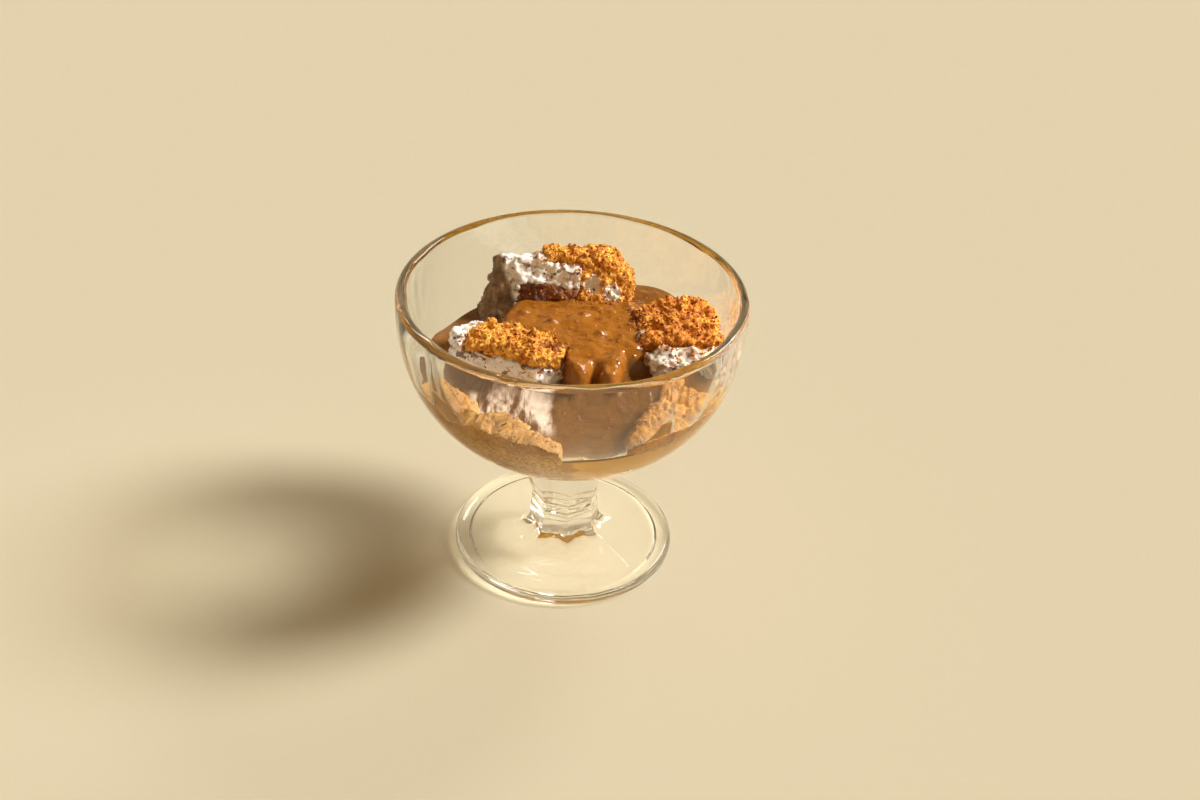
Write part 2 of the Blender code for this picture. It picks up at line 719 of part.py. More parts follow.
def main():
    """Model the whole cup."""
    clear_scene()
    cup = collection("tiramisu_cup")
    cutters = collection("cutters")
    finishes = {
        "glass": material("clear_glass", (0.95, 0.95, 0.92), 0.02, 1.0),
        "sauce": material("coffee_sauce", (0.42, 0.17, 0.035), 0.22),
        "cream": material("cream", (0.82, 0.76, 0.68), 0.5),
        "sponge": material("soaked_sponge", (0.50, 0.30, 0.13), 0.8),
        "crumb": material("toasted_crumb", (0.50, 0.20, 0.04), 0.85),
    }
    make_glass(cup, finishes["glass"])
    cavity = make_cavity(cutters)
    clearances = collection("clearances")
    crusts = [
        make_left_piece(cup, cavity, clearances, finishes),
        make_right_piece(cup, cavity, clearances, finishes),
        make_back_piece(cup, cavity, clearances, finishes),
    ]
    for side in ("left", "right"):
        make_slump(f"{side}_slump_clearance", clearances, side, CLEARANCE)
    sauce = make_sauce(cup, finishes["sauce"], clearances)
    for seed, (crumb, neighbours) in enumerate(crusts):
        add_crumbs(crumb, seed, neighbours + [sauce])


main()
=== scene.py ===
import json
import math

import bpy
import numpy as np
from mathutils import Matrix, Vector, noise
from mathutils.kdtree import KDTree

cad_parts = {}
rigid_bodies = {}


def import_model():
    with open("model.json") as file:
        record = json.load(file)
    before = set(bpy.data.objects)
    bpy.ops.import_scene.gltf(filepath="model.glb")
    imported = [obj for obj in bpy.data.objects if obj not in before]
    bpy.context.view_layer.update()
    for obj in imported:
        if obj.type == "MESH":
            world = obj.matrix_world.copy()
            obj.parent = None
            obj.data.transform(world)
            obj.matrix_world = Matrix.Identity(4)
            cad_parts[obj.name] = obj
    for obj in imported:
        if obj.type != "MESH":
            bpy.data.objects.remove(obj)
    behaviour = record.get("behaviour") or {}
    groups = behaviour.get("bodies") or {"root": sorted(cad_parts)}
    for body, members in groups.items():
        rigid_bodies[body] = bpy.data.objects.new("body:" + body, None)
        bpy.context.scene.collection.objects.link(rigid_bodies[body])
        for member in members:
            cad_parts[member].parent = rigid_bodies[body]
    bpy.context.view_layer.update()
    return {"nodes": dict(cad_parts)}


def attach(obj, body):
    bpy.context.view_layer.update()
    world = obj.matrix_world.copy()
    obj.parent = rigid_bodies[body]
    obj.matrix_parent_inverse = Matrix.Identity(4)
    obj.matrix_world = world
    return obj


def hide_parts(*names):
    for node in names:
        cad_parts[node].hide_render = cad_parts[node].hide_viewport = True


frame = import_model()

bl_info = {
    "name": "Tiramisu cup",
    "version": (1, 0, 0),
    "blender": (4, 5, 0),
    "location": "View3D > Sidebar > Tiramisu",
    "description": "Dresses the packed cup: pressed glass, caramel sauce, cream, sponge and crumbs",
    "category": "Add Mesh",
}

MM = 0.001

# Form of the coupe, in metres, as the solids have it
HEIGHT = 93 * MM
RIM_RADIUS = 52.5 * MM
RIM_THICKNESS = 3.4 * MM
FOOT_RADIUS = 35 * MM
FOOT_EDGE = 1.9 * MM
FOOT_RING_WIDTH = 3 * MM
FOOT_HOLLOW = 0.8 * MM
BOWL_WIDEST = 89.5 * MM
BOWL_DEPTH = 51.6 * MM
BOWL_FLOOR = 43 * MM
OUTER_CURVE = (2.265, 2.147)
INNER_CURVE = (2.2, 2.15)
INNER_WIDEST = RIM_RADIUS - RIM_THICKNESS + 0.4 * MM
INNER_TOP = 90.6 * MM
OUTER_TOP = 88 * MM
STEM_TOP = 41 * MM

# Radius and height of the stem down to the foot, in millimetres
STEM = ((18.6, 39.4), (14.8, 33.5), (12.1, 26), (10.5, 20.6), (9.7, 20), (10.4, 19.4), (10.4, 17.4),
        (9.6, 16.8), (10.5, 16.2), (10.8, 13.5), (11.2, 10.4), (12.6, 8.4), (15.6, 7.2), (20.5, 6.2),
        (28, 4.6))

# Where the arcs of the half section start and end, in degrees, and how many steps they have
LIP_ARC = (150, 5)
EDGE_ARC = (108, -70)
ARC_STEPS = 14
INSIDE_RINGS = 30
OUTSIDE_RINGS = 34

# Radius of the foot's hollow underside, and its height as a share of FOOT_HOLLOW
UNDERSIDE = ((22 * MM, 1.25), (12 * MM, 1.5), (0, 1.7))

# Pressed pattern; a pair holds the heights or radii between which its share goes from 0 to 1
FLUTES = 12
FLUTE_DEPTH = 0.9 * MM
FLUTE_DEPTH_AT_RIM = 0.5 * MM
FLUTE_START = (46 * MM, 56 * MM)
FLUTE_END = (82 * MM, HEIGHT)
FACETS = 8
FACET_BOTTOM = (8 * MM, 10 * MM)
FACET_TOP = (41 * MM, 33 * MM)
STAR_DEPTH = 0.16
STAR_SHARPNESS = 1.6
STAR_HEIGHTS = (10.5 * MM, 8.5 * MM)
STAR_RADII = (19 * MM, 13 * MM)
PRESSED_HEIGHTS = (5.5 * MM, 42 * MM)
PRESSED_RADIUS = 22 * MM
PATTERN_TURN = math.radians(8)

# Form of the sauce's top
POOL_HEIGHT = 66.8 * MM
POOL_SLOPE_BACK = 0.05
POOL_SLOPE_RIGHT = 0.06
POOL_SWELLS = ((26 * MM, 34 * MM, 14 * MM, 2.6 * MM), (-42 * MM, 12 * MM, 8 * MM, 2.4 * MM))
HEAP_HEIGHT = 74.8 * MM
HEAP_CENTRE = (2 * MM, 8.5 * MM)
HEAP_HALF_WIDTH = 26 * MM
HEAP_DEPTH_BACK = 23.5 * MM
HEAP_DEPTH_FRONT = 14 * MM
TONGUE_CENTRE = (7.5 * MM, -4 * MM)
TONGUE_HALF_WIDTH = 9.7 * MM
TONGUE_HALF_DEPTH = 13.5 * MM
LOBE_SPACING = 5.2 * MM
LOBE_SHARE = 0.1
CLEFT_WIDTH = 1.6 * MM
CLEFT_SHARE = 0.75
RIPPLE = 0.5 * MM
RIPPLE_GRAIN = 9 * MM
SAUCE_RINGS = 60
TOP_TOLERANCE = 0.2 * MM

# Crumbs that the sauce covers: place, reach and height of each bump, in millimetres
BUMPS = ((17.4, 23.7, 1.5, 1.3), (8.8, 5.8, 1.3, 1.2), (26.7, 24, 1.6, 1.3), (1.5, -12, 2.2, 1.2),
         (13, -9, 1.8, 1.0), (-6, 12, 1.2, 0.7), (-12, 4, 1.4, 0.7), (4, 17, 1.2, 0.8),
         (19, 12, 1.3, 0.9), (-3, -2, 1.3, 0.7), (12, 19, 1.1, 0.7), (0, 24, 1.2, 0.7),
         (15, 3, 1.4, 0.9), (-15, 16, 1.3, 0.8))

# Loose crumbs by colour: name, spacing as a multiple of the least one, smallest and largest
# radius as multiples of a middling one, seed, fineness of a crumb, and the share of crumbs on each
# ground: the left, right and back crust, the three creams, the back sponge and the sauce
CRUMB_KINDS = (
    ("golden_crumbs", 1.0, 0.55, 1.3, 3, 1, (1, 0.35, 1, 0.6, 0.6, 0.7, 0.1, 0.3)),
    ("toasted_crumbs", 1.9, 0.6, 1.5, 17, 2, (0.4, 1, 0.5, 0.7, 1, 0.7, 0.5, 0.8)),
    ("dark_crumbs", 2.6, 0.5, 1.0, 41, 2, (0.05, 0.3, 0.05, 0.15, 1, 0.2, 1, 0.4)),
)
CRUMB_SHAPES = 5

# Places on the crusts with another tint, and how far each reaches
CREAM_SMEARS = (((6 * MM, 30 * MM, 78 * MM), 4.6 * MM), ((12 * MM, 28 * MM, 76.5 * MM), 3.6 * MM),
                ((22 * MM, 5.5 * MM, 73 * MM), 4.6 * MM))
BROWN_SMEARS = (((-6.5 * MM, -5 * MM, 75 * MM), 4.5 * MM), ((20 * MM, 14 * MM, 74 * MM), 4 * MM))

# Camera of the photo
CAMERA_PLACE = (0, -0.42577, 0.34335)
CAMERA_AIM = (0.00979, 0.0045, 0.05134)
CAMERA_ROLL = math.radians(3.16)
LENS = 50
SENSOR_WIDTH = 36

# Light of the room: colour low down and high up, the heights between which it changes, and a
# window, whose edge is given as the cosine of the angle from its middle
ROOM_LOW = (0.66, 0.52, 0.33)
ROOM_HIGH = (0.24, 0.165, 0.07)
ROOM_CHANGE = (0.05, 0.6)
WINDOW_TOWARD = (0.45, 0.62, 0.65)
WINDOW_EDGE = (0.988, 0.992)
WINDOW_LIGHT = (10.0, 10.0, 9.8)
CLEAR_BOUNCES = 24
GLOSSY_BOUNCES = 8


def shade(red, green, blue):
    """Linear colour of screen values from 0 to 255."""
    parts = [value / 255 for value in (red, green, blue)]
    return tuple(part / 12.92 if part <= 0.04045 else ((part + 0.055) / 1.055) ** 2.4 for part in parts)


# Tints beside the colours that a user can change
GLASS_SHADOW = (0.68, 0.665, 0.635, 1)
SWIRL_CREAM = shade(244, 222, 200)
SWIRL_COFFEE = shade(84, 50, 26)
# Crumbly cake against the glass, in the sponge's tone with the painted light it has low in the bowl
SAUCE_CRUMBLY_LIT = shade(214, 160, 92)
# Painted shade in the small holes of the cream
CREAM_HOLE_SHADE = shade(112, 72, 42)
CREAM_COFFEE = shade(134, 84, 44)
# Painted shade, with vertical streaks, for the back left end of the cream, which turns away from the light
END_SHADE_PALE = shade(170, 134, 92)
END_SHADE_DARK = shade(112, 80, 50)
# Painted light: paler, more golden tones of the sponge low in the bowl
LIT_SPONGE_DARK = shade(212, 156, 84)
LIT_SPONGE_PALE = shade(242, 198, 128)
LIT_SPONGE_PORES = shade(160, 104, 50)
SMEAR_CREAM = shade(250, 238, 222)
SMEAR_BROWN = shade(150, 82, 34)


def colour_property(name, description, default):
    """A colour that a user can change."""
    return bpy.props.FloatVectorProperty(name=name, description=description, subtype="COLOR",
                                         size=3, min=0, max=1, default=default)


def length_property(name, description, default):
    """A length that a user can change."""
    return bpy.props.FloatProperty(name=name, description=description, subtype="DISTANCE",
                                   unit="LENGTH", min=0, default=default, precision=5)


def angle_property(name, description, degrees):
    """An angle that a user can change."""
    return bpy.props.FloatProperty(name=name, description=description, subtype="ANGLE",
                                   unit="ROTATION", default=math.radians(degrees))


class CupSizes(bpy.types.PropertyGroup):
    """Sizes of the cup's dressing."""

    columns: bpy.props.IntProperty(name="Columns", description="Columns of faces round the glass",
                                   default=192)
    wall_reach: length_property("Wall reach", "How far the contents reach into the wall", 0.1 * MM)
    voxel: length_property("Grain of the cake", "Size of the faces on sponge and cream", 0.45 * MM)
    layer_swell: length_property("Swelling", "How far each layer swells to meet the next", 0.22 * MM)
    crumb_spacing: length_property("Crumb spacing", "Least distance between loose crumbs", 0.62 * MM)
    crumb_radius: length_property("Crumb radius", "Radius of a middling crumb", 0.42 * MM)


class CupColours(bpy.types.PropertyGroup):
    """Colours of the cup's dressing."""

    glass: colour_property("Glass", "Tint of the glass", (1.0, 0.995, 0.975))
    sauce: colour_property("Sauce", "Caramel sauce", shade(160, 98, 30))
    sauce_dark: colour_property("Dark sauce", "Coffee streaks in the sauce", shade(122, 64, 24))
    # Pool: thinner, browner sauce round the heap, also darkened as painted shade of the low pool
    pool: colour_property("Pool", "Thinner sauce round the heap", shade(124, 79, 31))
    # Painted light: a paler tone for the sauce against the glass, where light comes in through the glass
    lit_pool_side: colour_property("Side of the pool", "Sauce against the glass", shade(246, 188, 84))
    cream: colour_property("Cream", "Whipped cream", shade(252, 244, 232))
    # Coffee stains and painted shade in the cream
    cream_stain_and_shade: colour_property("Cream stain", "Coffee stains in the cream", shade(186, 150, 122))
    sponge: colour_property("Sponge", "Soaked sponge", shade(184, 132, 58))
    sponge_dark: colour_property("Sponge pores", "Pores of the sponge", shade(120, 72, 34))
    gold: colour_property("Golden crumbs", "Toasted golden crumbs", shade(255, 192, 78))
    toast: colour_property("Brown crumbs", "Darker toasted crumbs", shade(194, 108, 32))
    dark: colour_property("Dark crumbs", "Crumbs soaked with coffee", shade(84, 42, 18))
    table: colour_property("Table", "Surface that the cup stands on", (0.562, 0.500, 0.354))


class StageSettings(bpy.types.PropertyGroup):
    """Light and table."""

    key_strength: bpy.props.FloatProperty(name="Key light", description="Strength of the key light",
                                          default=4.8)
    key_height: angle_property("Key height", "Height of the key light", 38.5)
    key_side: angle_property("Key side", "Turn of the key light from the right", 11)
    key_softness: angle_property("Softness", "Angle that the key light spans", 16)
    table_radius: length_property("Table radius", "Radius of the table top", 6.0)


# Modelling helpers

def deselect():
    """Leave edit mode and select nothing."""
    if bpy.context.object and bpy.context.object.mode != "OBJECT":
        bpy.ops.object.mode_set(mode="OBJECT")
    bpy.ops.object.select_all(action="DESELECT")


def choose(piece):
    """Make a piece the only selected and active one."""
    deselect()
    piece.select_set(True)
    bpy.context.view_layer.objects.active = piece


def read_points(piece):
    """The piece's points as an array of rows."""
    points = np.empty(len(piece.data.vertices) * 3)
    piece.data.vertices.foreach_get("co", points)
    return points.reshape(-1, 3)


def write_points(piece, points):
    """Put changed points back in the piece."""
    piece.data.vertices.foreach_set("co", points.ravel())
    piece.data.update()


def read_normals(piece):
    """The direction that the surface faces at each point."""
    normals = np.empty(len(piece.data.vertices) * 3)
    piece.data.vertex_normals.foreach_get("vector", normals)
    return normals.reshape(-1, 3)


def ramp(value, low, high):
    """Smooth step from 0 at low to 1 at high, also on arrays."""
    share = np.clip((value - low) / (high - low), 0, 1)
    return share * share * (3 - 2 * share)


def apply_all(piece):
    """Apply the piece's modifiers in their order."""
    choose(piece)
    for modifier in list(piece.modifiers):
        bpy.ops.object.modifier_apply(modifier=modifier.name)


def relief(piece, name, kind, grain, depth, level=0.5, direction="NORMAL", group=""):
    """Add relief to a piece: a displacement by a solid noise of the given grain and depth."""
    pattern = bpy.data.textures.new(name, kind)
    pattern.noise_scale = grain
    if kind == "CLOUDS":
        pattern.noise_depth = 2
    made = piece.modifiers.new(name, "DISPLACE")
    made.texture = pattern
    made.texture_coords = "LOCAL"
    made.strength = depth
    made.mid_level = level
    made.direction = direction
    made.vertex_group = group


def copied(source, name):
    """A copy of a piece with a mesh of its own and without the source's marks."""
    deselect()
    piece = source.copy()
    piece.data = source.data.copy()
    piece.parent = None
    for key in list(piece.keys()):
        del piece[key]
    bpy.context.scene.collection.objects.link(piece)
    piece.name = name
    piece.data.name = name
    return piece


def finish_piece(piece, material, replaced=()):
    """Give a piece its material, hang it on the root body and hide the solids that it replaces."""
    piece.data.materials.clear()
    piece.data.materials.append(material)
    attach(piece, "root")
    if replaced:
        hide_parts(*replaced)
    deselect()


# Form of the bowl

def bowl_radius(z, depth, curve, widest):
    """Radius of a bowl wall at height z, a rounded dish that closes at its lowest point."""
    fall = np.clip((BOWL_WIDEST - np.asarray(z, dtype=float)) / depth, 0, 1)
    return widest * (1 - fall ** curve[0]) ** (1 / curve[1])


def outer_radius(z):
    """Outer wall of the bowl."""
    return bowl_radius(z, BOWL_DEPTH, OUTER_CURVE, RIM_RADIUS)


def inner_radius(z):
    """Inner wall of the bowl, at the middle of a flute."""
    return bowl_radius(z, BOWL_WIDEST - BOWL_FLOOR, INNER_CURVE, INNER_WIDEST)


def flute_press(z, azimuth):
    """How far the wall stands in between two flutes, at an azimuth from the pattern's start."""
    step = 2 * math.pi / FLUTES
    from_middle = np.abs((azimuth % step) - step / 2) / (step / 2)
    depth = FLUTE_DEPTH + (FLUTE_DEPTH_AT_RIM - FLUTE_DEPTH) * ramp(z, *FLUTE_END)
    return depth * ramp(z, *FLUTE_START) * from_middle ** 2


def wall_radius(points):
    """Radius of the bowl's inside at each point's height and azimuth."""
    azimuth = np.arctan2(points[:, 1], points[:, 0])
    return inner_radius(points[:, 2]) - flute_press(points[:, 2], azimuth - PATTERN_TURN)


def dish_heights(low, depth, count, top):
    """Heights up a dish, closer together where it closes."""
    shares = np.linspace(0, 1, count + 1)[1:]
    heights = [low + depth * share ** 2 for share in shares]
    return [height for height in heights if height < top] + [top]


def inside_points(offset=0.0):
    """Half section of the bowl's inside from the floor up, moved into the wall by the offset."""
    heights = dish_heights(BOWL_FLOOR, BOWL_WIDEST - BOWL_FLOOR, INSIDE_RINGS, INNER_TOP)
    points = [Vector((0, BOWL_FLOOR))]
    points += [Vector((float(inner_radius(height)), height)) for height in heights]
    moved = [points[0] - Vector((0, offset))]
    for before, point, after in zip(points, points[1:], points[2:] + points[-1:]):
        along = (after - before).normalized()
        moved.append(point + Vector((along.y, -along.x)) * offset)
    return moved


def smooth_line(points, steps):
    """Points on a smooth line through the given ones."""
    padded = [2 * points[0] - points[1]] + points + [2 * points[-1] - points[-2]]
    line = []
    for first, second, third, fourth in zip(padded, padded[1:], padded[2:], padded[3:]):
        for index in range(steps):
            share = index / steps
            line.append(0.5 * (2 * second + (third - first) * share
                               + (2 * first - 5 * second + 4 * third - fourth) * share ** 2
                               + (3 * second - first - 3 * third + fourth) * share ** 3))
    return line + [points[-1]]


def arc(centre, radius, start, end, count):
    """Points on an arc, in degrees from the half section's outward direction."""
    turns = [math.radians(start + (end - start) * index / count) for index in range(count + 1)]
    return [centre + Vector((math.cos(turn), math.sin(turn))) * radius for turn in turns]


def glass_points():
    """Half section of the coupe: up the inside, over the rim, down the outside and under the foot."""
    reach = RIM_THICKNESS / 2
    lip = arc(Vector((RIM_RADIUS - reach, HEIGHT - reach)), reach, *LIP_ARC, ARC_STEPS)
    heights = dish_heights(BOWL_WIDEST - BOWL_DEPTH, BOWL_DEPTH, OUTSIDE_RINGS, OUTER_TOP)
    outside = [Vector((float(outer_radius(height)), height))
               for height in reversed(heights) if height > STEM_TOP]
    stem = smooth_line([Vector(point) * MM for point in STEM], 4)
    edge_centre = Vector((FOOT_RADIUS - FOOT_EDGE, FOOT_EDGE * 1.05))
    edge = arc(edge_centre, FOOT_EDGE, *EDGE_ARC, ARC_STEPS)
    ring = FOOT_RADIUS - FOOT_EDGE * 0.9
    under = [
        Vector((ring, 0)),
        Vector((ring - FOOT_RING_WIDTH, 0)),
        Vector((ring - FOOT_RING_WIDTH - FOOT_HOLLOW / 2, FOOT_HOLLOW / 2)),
        Vector((ring - FOOT_RING_WIDTH - FOOT_HOLLOW, FOOT_HOLLOW)),
    ]
    under += [Vector((radius, FOOT_HOLLOW * share)) for radius, share in UNDERSIDE]
    return inside_points() + lip + outside + stem + edge + under


def turned(name, points, columns):
    """Draw a half section point by point and turn it about the Z axis to a closed piece."""
    deselect()
    bpy.ops.mesh.primitive_plane_add(size=MM, location=(0, 0, 0))
    piece = bpy.context.object
    piece.name = name
    piece.data.name = name
    bpy.ops.object.mode_set(mode="EDIT")
    bpy.ops.mesh.merge(type="CENTER")
    bpy.ops.transform.translate(value=(points[0].x, 0, points[0].y))
    for before, point in zip(points, points[1:]):
        step = (point.x - before.x, 0, point.y - before.y)
        bpy.ops.mesh.extrude_vertices_move(TRANSFORM_OT_translate={"value": step})
    bpy.ops.object.mode_set(mode="OBJECT")
    spun = piece.modifiers.new("spun", "SCREW")
    spun.axis = "Z"
    spun.angle = 2 * math.pi
    spun.steps = columns
    spun.render_steps = columns
    spun.use_merge_vertices = True
    spun.merge_threshold = 0.01 * MM
    apply_all(piece)
    bpy.ops.object.mode_set(mode="EDIT")
    bpy.ops.mesh.select_all(action="SELECT")
    bpy.ops.mesh.normals_make_consistent(inside=False)
    bpy.ops.object.mode_set(mode="OBJECT")
    return piece


def scale_radius(points, radius, wanted):
    """Move points in or out to the wanted radius."""
    factor = np.where(radius > 0.05 * MM, wanted / np.maximum(radius, 0.05 * MM), 1)
    points[:, 0] *= factor
    points[:, 1] *= factor
    return points


def press_glass(piece):
    """Press the flutes, the stem's facets and the star into the turned glass."""
    points = read_points(piece)
    radius = np.hypot(points[:, 0], points[:, 1])
    azimuth = np.arctan2(points[:, 1], points[:, 0])
    z = points[:, 2]
    step = 2 * math.pi / FACETS
    from_middle = (azimuth % step) - step / 2
    facet = math.cos(step / 2) / np.cos(from_middle) - 1
    from_point = 1 - np.abs(from_middle) / (step / 2)
    star = -STAR_DEPTH * np.minimum(1, STAR_SHARPNESS * from_point)
    facet_share = ramp(z, *FACET_BOTTOM) * ramp(z, *FACET_TOP)
    star_share = ramp(z, *STAR_HEIGHTS) * ramp(radius, *STAR_RADII)
    on_stem = (z > PRESSED_HEIGHTS[0]) & (z < PRESSED_HEIGHTS[1]) & (radius < PRESSED_RADIUS)
    wanted = np.where(on_stem, radius * (1 + facet_share * facet + star_share * star), radius)
    is_inside = (z > BOWL_FLOOR) & (radius < (outer_radius(z) + inner_radius(z)) / 2)
    wanted = np.where(is_inside, radius - flute_press(z, azimuth), wanted)
    write_points(piece, scale_radius(points, radius, wanted))
    piece.data.transform(Matrix.Rotation(PATTERN_TURN, 4, "Z"))


# Form of the sauce

def sauce_height(x, y):
    """Height of the sauce's top over a place in the bowl."""
    pool = POOL_HEIGHT + POOL_SLOPE_BACK * y + POOL_SLOPE_RIGHT * x
    for swell_x, swell_y, reach, rise in POOL_SWELLS:
        pool = pool + rise * np.exp(-((x - swell_x) ** 2 + (y - swell_y) ** 2) / reach ** 2)
    across = np.abs(x - HEAP_CENTRE[0]) / HEAP_HALF_WIDTH
    depth = np.where(y > HEAP_CENTRE[1], HEAP_DEPTH_BACK, HEAP_DEPTH_FRONT)
    along = np.abs(y - HEAP_CENTRE[1]) / depth
    from_heap = (across ** 3 + along ** 3) ** (1 / 3)
    aside = (x - TONGUE_CENTRE[0]) / TONGUE_HALF_WIDTH
    ahead = (TONGUE_CENTRE[1] - y) / TONGUE_HALF_DEPTH
    lobes = LOBE_SHARE * np.cos((x - TONGUE_CENTRE[0]) / LOBE_SPACING * math.pi) * ramp(ahead, 0.1, 0.7)
    from_tongue = (np.abs(aside) ** 3 + np.abs(ahead) ** 3) ** (1 / 3) + lobes
    reach = np.minimum(from_heap, from_tongue)
    cleft = np.exp(-((x - TONGUE_CENTRE[0]) / CLEFT_WIDTH) ** 2) * ramp(ahead, 0.25, 0.8)
    heap = (HEAP_HEIGHT - pool) * ramp(reach, 1.12, 0.82) * (1 - CLEFT_SHARE * cleft)
    ripple = np.array([noise.noise(Vector((px, py, 0)) / RIPPLE_GRAIN) for px, py in zip(x, y)])
    return pool + heap + RIPPLE * ripple * ramp(reach, 1.1, 0.9)


def shape_sauce(piece, reach):
    """Fit the turned sauce to the fluted wall and raise its top to the pool and the heap."""
    points = read_points(piece)
    radius = np.hypot(points[:, 0], points[:, 1])
    azimuth = np.arctan2(points[:, 1], points[:, 0])
    z = points[:, 2]
    is_top = z > POOL_HEIGHT - TOP_TOLERANCE
    press = np.where(is_top, 0, flute_press(z, azimuth - PATTERN_TURN))
    points = scale_radius(points, radius, radius - press)
    pool_radius = float(inner_radius(POOL_HEIGHT))
    share = radius[is_top] / pool_radius
    x = points[is_top, 0]
    y = points[is_top, 1]
    level = sauce_height(x, y)
    turn = azimuth[is_top]
    edge = inner_radius(level) - flute_press(level, turn - PATTERN_TURN) + reach
    x = share * edge * np.cos(turn)
    y = share * edge * np.sin(turn)
    level = sauce_height(x, y)
    for bump_x, bump_y, bump_reach, rise in BUMPS:
        away = (x - bump_x * MM) ** 2 + (y - bump_y * MM) ** 2
        level = level + rise * MM * np.exp(-away / (bump_reach * MM) ** 2)
    points[is_top] = np.stack([x, y, level], axis=1)
    write_points(piece, points)
    group = piece.vertex_groups.new(name="top")
    for index, part in zip(np.nonzero(is_top)[0], share):
        group.add([int(index)], float(ramp(part, 1.0, 0.93)), "REPLACE")


# Layers of cake

def meet_wall(piece, reach, near=1.0 * MM, far=1.8 * MM):
    """Push what lies close to the bowl's wall just into it, and keep the rest inside."""
    points = read_points(piece)
    radius = np.hypot(points[:, 0], points[:, 1])
    wall = wall_radius(points)
    pull = ramp(wall - radius, far, near)
    wanted = np.minimum(radius + (wall + reach - radius) * pull, wall + reach)
    write_points(piece, scale_radius(points, radius, wanted))


def layer(name, node, voxel, swell):
    """A copy of a cake layer's solid with even, fine faces, swollen to meet its neighbours."""
    piece = copied(frame["nodes"][node], name)
    piece.matrix_world = Matrix.Identity(4)
    choose(piece)
    bpy.ops.object.mode_set(mode="EDIT")
    bpy.ops.mesh.select_all(action="SELECT")
    bpy.ops.mesh.remove_doubles(threshold=0.001 * MM)
    bpy.ops.object.mode_set(mode="OBJECT")
    even = piece.modifiers.new("even", "REMESH")
    even.mode = "VOXEL"
    even.voxel_size = voxel
    even.use_smooth_shade = True
    soft = piece.modifiers.new("soft", "SMOOTH")
    soft.iterations = 3
    grow = piece.modifiers.new("grow", "DISPLACE")
    grow.mid_level = 0
    grow.strength = swell
    return piece


# Loose crumbs

def make_grains(count, faces):
    """A few uneven little lumps of unit radius, in a collection of their own."""
    group = bpy.data.collections.new("grains")
    bpy.context.scene.collection.children.link(group)
    for index in range(count):
        deselect()
        bpy.ops.mesh.primitive_ico_sphere_add(subdivisions=faces, radius=1, location=(0, 0, 0))
        grain = bpy.context.object
        points = read_points(grain)
        stretch = np.array([1.0, 0.75 + 0.12 * (index % 3), 0.7 + 0.1 * (index % 2)])
        shift = Vector((7.1 * index, 3.3, 1.7))
        lumps = [1 + 0.45 * noise.noise(Vector(point) * 1.3 + shift) for point in points]
        write_points(grain, points * np.array(lumps)[:, None] * stretch)
        for home in list(grain.users_collection):
            home.objects.unlink(grain)
        group.objects.link(grain)
    return group


def drop_grains(group):
    """Remove the lumps that the scattered crumbs were copied from."""
    for grain in list(group.objects):
        bpy.data.objects.remove(grain, do_unlink=True)
    bpy.data.collections.remove(group)


def scatter_nodes(name, grains, spacing, sizes, seed):
    """Geometry nodes that draw grains over a surface and join them to one mesh."""
    tree = bpy.data.node_groups.new(name, "GeometryNodeTree")
    tree.interface.new_socket("Geometry", in_out="INPUT", socket_type="NodeSocketGeometry")
    tree.interface.new_socket("Geometry", in_out="OUTPUT", socket_type="NodeSocketGeometry")
    start = tree.nodes.new("NodeGroupInput")
    end = tree.nodes.new("NodeGroupOutput")
    spread = tree.nodes.new("GeometryNodeDistributePointsOnFaces")
    spread.distribute_method = "POISSON"
    spread.inputs["Distance Min"].default_value = spacing
    spread.inputs["Density Max"].default_value = 0.9 / spacing ** 2
    spread.inputs["Seed"].default_value = seed
    share = tree.nodes.new("GeometryNodeInputNamedAttribute")
    share.data_type = "FLOAT"
    share.inputs["Name"].default_value = "share"
    shapes = tree.nodes.new("GeometryNodeCollectionInfo")
    shapes.inputs["Collection"].default_value = grains
    shapes.inputs["Separate Children"].default_value = True
    shapes.inputs["Reset Children"].default_value = True
    turn = tree.nodes.new("FunctionNodeRandomValue")
    turn.data_type = "FLOAT_VECTOR"
    turn.inputs[1].default_value = (6.28, 6.28, 6.28)
    turn.inputs["Seed"].default_value = seed + 1
    size = tree.nodes.new("FunctionNodeRandomValue")
    size.data_type = "FLOAT"
    size.inputs[2].default_value = sizes[0]
    size.inputs[3].default_value = sizes[1]
    size.inputs["Seed"].default_value = seed + 2
    copies = tree.nodes.new("GeometryNodeInstanceOnPoints")
    copies.inputs["Pick Instance"].default_value = True
    joined = tree.nodes.new("GeometryNodeRealizeInstances")
    link = tree.links.new
    link(start.outputs[0], spread.inputs["Mesh"])
    link(share.outputs["Attribute"], spread.inputs["Density Factor"])
    link(spread.outputs["Points"], copies.inputs["Points"])
    link(shapes.outputs[0], copies.inputs["Instance"])
    link(turn.outputs[0], copies.inputs["Rotation"])
    link(size.outputs[1], copies.inputs["Scale"])
    link(copies.outputs[0], joined.inputs[0])
    link(joined.outputs[0], end.inputs[0])
    return tree


def scatter(name, ground, share, grains, spacing, sizes, seed):
    """Loose grains on a ground, as thick as the share at each of its points, as one mesh."""
    piece = copied(ground, name)
    amount = piece.data.attributes.new("share", "FLOAT", "POINT")
    amount.data.foreach_set("value", share.astype(np.float32))
    tree = scatter_nodes(name, grains, spacing, sizes, seed)
    made = piece.modifiers.new("scatter", "NODES")
    made.node_group = tree
    apply_all(piece)
    bpy.data.node_groups.remove(tree)
    for attribute in list(piece.data.attributes):
        if attribute.name == "share":
            piece.data.attributes.remove(attribute)
    points = read_points(piece)
    radius = np.hypot(points[:, 0], points[:, 1])
    wanted = np.minimum(radius, wall_radius(points) + 0.05 * MM)
    write_points(piece, scale_radius(points, radius, wanted))
    return piece


